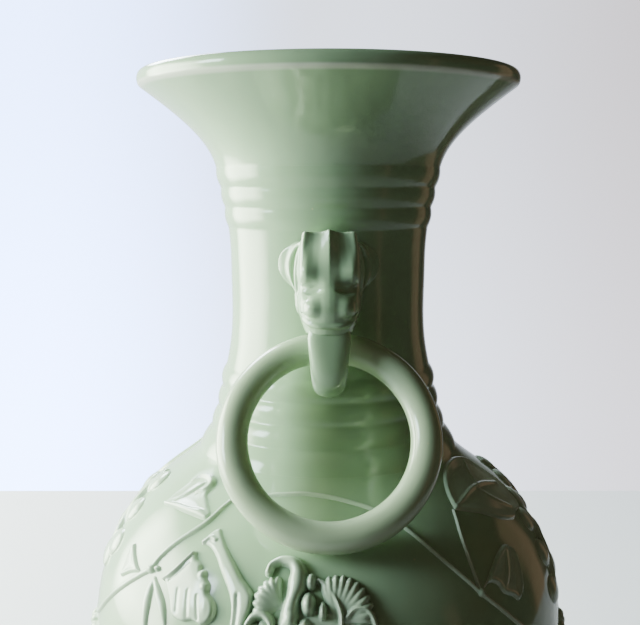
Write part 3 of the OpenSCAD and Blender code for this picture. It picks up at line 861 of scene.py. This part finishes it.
def handle_pieces():
    """Masks, tongues and rings for both sides."""
    shapes = {"head": head_piece(), "tongue": tongue_piece(), "ring": ring_piece()}
    pieces = {}
    for part, (points, faces) in shapes.items():
        for side, sign in (("front_", 1), ("back_", -1)):
            verts = points * [sign, -sign, 1]
            pieces[side + part] = new_mesh(f"{side}{part}_shape", verts, faces)
    return pieces


# ---------------------------------------------------------------- materials
def new_material(name):
    """A material, its node tree and its shader."""
    mat = bpy.data.materials.new(name)
    mat.use_nodes = True
    return mat, mat.node_tree, mat.node_tree.nodes["Principled BSDF"]


def add_node(tree, kind, **values):
    """A node with its settings, or with its inputs' values where the name is an input's."""
    node = tree.nodes.new(kind)
    for name, value in values.items():
        if hasattr(node, name):
            setattr(node, name, value)
        else:
            node.inputs[name.replace("_", " ")].default_value = value
    return node


def ranged(tree, source, low, high, to_low=0.0, to_high=1.0):
    """A value taken smoothly from low..high to to_low..to_high."""
    node = add_node(tree, "ShaderNodeMapRange", interpolation_type="SMOOTHSTEP")
    tree.links.new(source, node.inputs["Value"])
    for name, value in (("From Min", low), ("From Max", high), ("To Min", to_low), ("To Max", to_high)):
        node.inputs[name].default_value = value
    return node.outputs["Result"]


def maths(tree, operation, a, b):
    """One sum on two values, each a number or another node's output."""
    node = add_node(tree, "ShaderNodeMath", operation=operation)
    for socket, value in zip(node.inputs, (a, b)):
        if isinstance(value, (int, float)):
            socket.default_value = value
        else:
            tree.links.new(value, socket)
    return node.outputs["Value"]


def mixed(tree, factor, a, b, blend="MIX"):
    """Colour a taken towards colour b by a factor."""
    node = add_node(tree, "ShaderNodeMix", data_type="RGBA", blend_type=blend)
    for socket, value in zip((node.inputs[0], node.inputs[6], node.inputs[7]), (factor, a, b)):
        if isinstance(value, (int, float, tuple)):
            socket.default_value = value
        else:
            tree.links.new(value, socket)
    return node.outputs[2]


def noise(tree, coords, scale, detail=2.0):
    """Soft cloudy noise from 0 to 1."""
    node = add_node(tree, "ShaderNodeTexNoise", Scale=scale, Detail=detail)
    tree.links.new(coords, node.inputs["Vector"])
    return node.outputs["Fac"]


def celadon(name, body, roughness=0.09, thin=0.0011, lip=None):
    """Glossy green glaze: deeper where it pools in corners, where painted shade darkens it too; pale where
    it runs thin on edges and along the lip's lower edge, given as (radius, height) in metres."""
    mat, tree, shader = new_material(name)
    coords = add_node(tree, "ShaderNodeTexCoord").outputs["Object"]
    # Ambient occlusion in corners and recesses: glaze pooling there, and painted shade as well
    pooled_and_shaded = add_node(tree, "ShaderNodeAmbientOcclusion", samples=6, Distance=0.0035).outputs["AO"]
    edge = add_node(tree, "ShaderNodeAmbientOcclusion", samples=6, inside=True, only_local=True,
                    Distance=thin).outputs["AO"]
    deep = tuple(c * k for c, k in zip(body[:3], (0.5, 0.6, 0.55))) + (1,)
    pale = tuple(c + (1 - c) * k for c, k in zip(body[:3], (0.42, 0.34, 0.36))) + (1,)
    cloud = ranged(tree, noise(tree, coords, 14.0, 3.0), 0.35, 0.65)
    colour = mixed(tree, cloud, tuple(c * 0.95 for c in body[:3]) + (1,), body)
    # Corners taken towards the deep colour: glaze pooling plus painted shade
    colour = mixed(tree, ranged(tree, pooled_and_shaded, 0.4, 0.97, 0.6, 0.0), colour, deep)
    colour = mixed(tree, ranged(tree, edge, 0.35, 0.8, 0.8, 0.0), colour, pale)
    if lip:
        split = add_node(tree, "ShaderNodeSeparateXYZ")
        tree.links.new(coords, split.inputs[0])
        x, y, z = split.outputs
        squares = maths(tree, "ADD", maths(tree, "MULTIPLY", x, x), maths(tree, "MULTIPLY", y, y))
        out = maths(tree, "SQRT", squares, 0)
        line = maths(tree, "MULTIPLY", ranged(tree, z, lip[1] - 0.0018, lip[1] - 0.0004),
                     ranged(tree, z, lip[1] + 0.0005, lip[1] + 0.002, 1.0, 0.0))
        line = maths(tree, "MULTIPLY", line, ranged(tree, out, lip[0] - 0.004, lip[0] - 0.002, 0.0, 0.85))
        colour = mixed(tree, line, colour, pale)
    spots = add_node(tree, "ShaderNodeTexVoronoi", Scale=110.0)
    tree.links.new(coords, spots.inputs["Vector"])
    rare = ranged(tree, noise(tree, coords, 40.0, 0.0), 0.66, 0.7)
    speck = maths(tree, "MULTIPLY", ranged(tree, spots.outputs["Distance"], 0.03, 0.07, 0.7, 0.0), rare)
    colour = mixed(tree, speck, colour, (0.62, 0.6, 0.36, 1))
    tree.links.new(colour, shader.inputs["Base Color"])
    shader.inputs["Roughness"].default_value = roughness
    shader.inputs["IOR"].default_value = 1.52
    ripple = maths(tree, "ADD", maths(tree, "MULTIPLY", noise(tree, coords, 55.0, 1.0), 1.0),
                   maths(tree, "MULTIPLY", noise(tree, coords, 420.0, 1.0), 0.06))
    bump = add_node(tree, "ShaderNodeBump", Strength=0.25, Distance=0.0012)
    tree.links.new(ripple, bump.inputs["Height"])
    tree.links.new(bump.outputs["Normal"], shader.inputs["Normal"])
    return mat


def bare_clay():
    """The foot: buff fired clay, worn a little browner, with a fine grain."""
    mat, tree, shader = new_material("bare_foot")
    coords = add_node(tree, "ShaderNodeTexCoord").outputs["Object"]
    grain = noise(tree, coords, 900.0, 3.0)
    colour = mixed(tree, ranged(tree, noise(tree, coords, 35.0, 4.0), 0.35, 0.65), (0.47, 0.29, 0.17, 1),
                   (0.58, 0.42, 0.28, 1))
    colour = mixed(tree, ranged(tree, grain, 0.4, 0.6, 0.0, 0.35), colour, (0.3, 0.18, 0.1, 1))
    tree.links.new(colour, shader.inputs["Base Color"])
    shader.inputs["Roughness"].default_value = 0.82
    bump = add_node(tree, "ShaderNodeBump", Strength=0.5, Distance=0.0003)
    tree.links.new(grain, bump.inputs["Height"])
    tree.links.new(bump.outputs["Normal"], shader.inputs["Normal"])
    return mat


# ---------------------------------------------------------------- stage
CAMERA_PLACE, CAMERA_DOWN, CAMERA_LENS = (-0.0044, -0.533, 0.400), 7.335, 54.8
TABLE_SHOWS = 0.42
BAND_BLUR = 0.06


def add_camera():
    """In front of the vase, level with its neck and looking a little down."""
    camera = bpy.data.cameras.new("camera")
    camera.sensor_width = 36
    camera.lens = CAMERA_LENS
    camera.clip_start, camera.clip_end = 0.02, 50
    obj = bpy.data.objects.new("camera", camera)
    bpy.context.scene.collection.objects.link(obj)
    obj.location = CAMERA_PLACE
    obj.rotation_euler = (math.radians(90 - CAMERA_DOWN), 0, 0)
    bpy.context.scene.camera = obj


def area_light(name, place, target, size, watts, colour, shape="RECTANGLE"):
    """A panel of light that fades towards its edges."""
    light = bpy.data.lights.new(name, "AREA")
    light.shape = shape
    light.size, light.size_y = size
    light.energy = watts
    light.color = colour
    light.use_nodes = True
    tree = light.node_tree
    split = add_node(tree, "ShaderNodeSeparateXYZ")
    tree.links.new(add_node(tree, "ShaderNodeNewGeometry").outputs["Parametric"], split.inputs[0])
    glow = FADE_GAIN
    for t in split.outputs[:2]:
        fade = maths(tree, "MULTIPLY", t, maths(tree, "MULTIPLY", maths(tree, "SUBTRACT", 1.0, t), FADE))
        glow = maths(tree, "MULTIPLY", maths(tree, "MINIMUM", fade, 1.0), glow)
    tree.links.new(glow, tree.nodes["Emission"].inputs["Strength"])
    obj = bpy.data.objects.new(name, light)
    bpy.context.scene.collection.objects.link(obj)
    obj.location = place
    obj.rotation_euler = (Vector(target) - Vector(place)).to_track_quat("-Z", "Y").to_euler()


def add_world():
    """A pale backdrop, brighter to the left; the room in front and to the right is dark and brown."""
    world = bpy.data.worlds.new("studio")
    bpy.context.scene.world = world
    world.use_nodes = True
    tree = world.node_tree
    coords = add_node(tree, "ShaderNodeTexCoord").outputs["Generated"]
    split = add_node(tree, "ShaderNodeSeparateXYZ")
    tree.links.new(coords, split.inputs[0])
    x, y, z = split.outputs
    # What is seen behind the vase
    seen = mixed(tree, ranged(tree, x, -0.3, 0.0), BACKDROP_LEFT, BACKDROP_MIDDLE)
    seen = mixed(tree, ranged(tree, x, 0.0, 0.36), seen, BACKDROP_RIGHT)
    seen = mixed(tree, ranged(tree, z, -0.3, 0.2), seen, (0.7, 0.68, 0.66, 1), "MULTIPLY")
    # What lights the vase and shows in its glaze
    facing = maths(tree, "SUBTRACT", maths(tree, "MULTIPLY", y, 0.6), maths(tree, "MULTIPLY", x, 0.8))
    bright = maths(tree, "MULTIPLY", ranged(tree, facing, 0.1, 0.75), ranged(tree, z, 0.2, 0.7, 1.0, 0.06))
    around = maths(tree, "ARCTAN2", x, maths(tree, "MULTIPLY", y, -1.0))
    room = mixed(tree, ranged(tree, noise(tree, coords, 2.3, 2.0), 0.42, 0.6), ROOM_DARK, ROOM_BROWN)
    height = maths(tree, "MULTIPLY", ranged(tree, z, -0.5, -0.4), ranged(tree, z, 0.3, 0.4, 1.0, 0.0))
    for low, high, colour in ((58, 64, ROOM_DOOR), (116, 134, ROOM_DOOR), (24, 27, ROOM_GLINT)):
        low, high = math.radians(low), math.radians(high)
        band = maths(tree, "MULTIPLY", ranged(tree, around, low - BAND_BLUR, low + BAND_BLUR),
                     ranged(tree, around, high - BAND_BLUR, high + BAND_BLUR, 1.0, 0.0))
        room = mixed(tree, maths(tree, "MULTIPLY", band, height), room, colour)
    light = mixed(tree, bright, room, ROOM_LIT)
    path = add_node(tree, "ShaderNodeLightPath").outputs["Is Camera Ray"]
    back = tree.nodes["Background"]
    tree.links.new(mixed(tree, path, light, seen), back.inputs["Color"])
    back.inputs["Strength"].default_value = 1.0


def add_table():
    """A plain pale table top. It shows softly in the glaze and throws little light on the vase."""
    mat, tree, shader = new_material("table_top")
    coords = add_node(tree, "ShaderNodeTexCoord").outputs["Object"]
    rays = add_node(tree, "ShaderNodeLightPath").outputs
    path = maths(tree, "ADD", rays["Is Camera Ray"],
                 maths(tree, "MULTIPLY", rays["Is Glossy Ray"], TABLE_SHOWS))
    tone = mixed(tree, noise(tree, coords, 3.0), (0.78, 0.8, 0.84, 1), (0.81, 0.83, 0.87, 1))
    tree.links.new(mixed(tree, path, (0.1, 0.1, 0.1, 1), tone), shader.inputs["Base Color"])
    shader.inputs["Roughness"].default_value = 0.55
    half, back = 900, 720
    verts = [(-half, -half, 0), (half, -half, 0), (half, back, 0), (-half, back, 0)]
    table = new_mesh("table_top", verts, [(0, 1, 2, 3)])
    table.data.materials.append(mat)


# Light of the backdrop and of the room, as linear colours
BACKDROP_LEFT = (5.0, 7.5, 15.0, 1)
BACKDROP_MIDDLE = (2.7, 3.0, 3.6, 1)
BACKDROP_RIGHT = (1.75, 1.7, 1.85, 1)
ROOM_LIT = (1.9, 2.1, 2.3, 1)
ROOM_DARK = (0.03, 0.034, 0.03, 1)
ROOM_BROWN = (0.085, 0.06, 0.036, 1)
ROOM_DOOR = (0.42, 0.27, 0.17, 1)
ROOM_GLINT = (0.35, 0.33, 0.3, 1)
# How fast a panel of light fades from its edges, and what makes up for the light lost
FADE, FADE_GAIN = 5.0, 1.7

add_camera()
add_world()
add_table()
area_light("window", (-1.25, 0.27, 0.42), (0, 0.18, 0.4), (1.45, 1.2), 108, (0.9, 0.98, 0.78))
area_light("near_pane", (-1.25, -0.48, 0.78), (0, -0.05, 0.3), (0.46, 0.6), 14.5, (0.76, 0.94, 0.99),
           "ELLIPSE")
area_light("floor_light", (-0.9, 1.3, 1.4), (0.1, 0.6, 0.0), (1.2, 0.8), 78, (0.84, 0.92, 1.0))

CELADON = (0.33, 0.48, 0.3, 1)
GLAZE = celadon("celadon_glaze", CELADON)
BODY_GLAZE = celadon("body_glaze", CELADON, thin=0.0001, lip=(MOUTH_R * MM, RIM_Z * MM))
# The ring's glaze is painted paler than the body's, standing in for the light that falls on the ring
RING_PAINTED_LIGHT_GLAZE = celadon("ring_glaze", (0.43, 0.55, 0.36, 1), 0.08)
# The sprigs' glaze is paler and bluer than the body's. Part of this is the thinner glaze over raised work,
# and part is a painted reflection of the window on the leaves
RELIEF_PALE_AND_SHEEN_GLAZE = celadon("relief_pale_and_sheen_glaze", (0.45, 0.585, 0.42, 1), 0.08, 0.002)
CLAY = bare_clay()
for node, piece in body_sections().items():
    piece.data.materials.append(CLAY if node == "foot_ring" else BODY_GLAZE)
    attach(piece, "vase")
    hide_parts(node)
for node, piece in handle_pieces().items():
    loose = node.endswith("ring")
    piece.data.materials.append(RING_PAINTED_LIGHT_GLAZE if loose else GLAZE)
    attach(piece, node if loose else "vase")
    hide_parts(node)
for node, piece in sprig_pieces().items():
    piece.data.materials.append(RELIEF_PALE_AND_SHEEN_GLAZE)
    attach(piece, "vase")
    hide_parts(node)
for obj in frame["nodes"].values():
    obj.data.materials.clear()
    obj.data.materials.append(GLAZE)
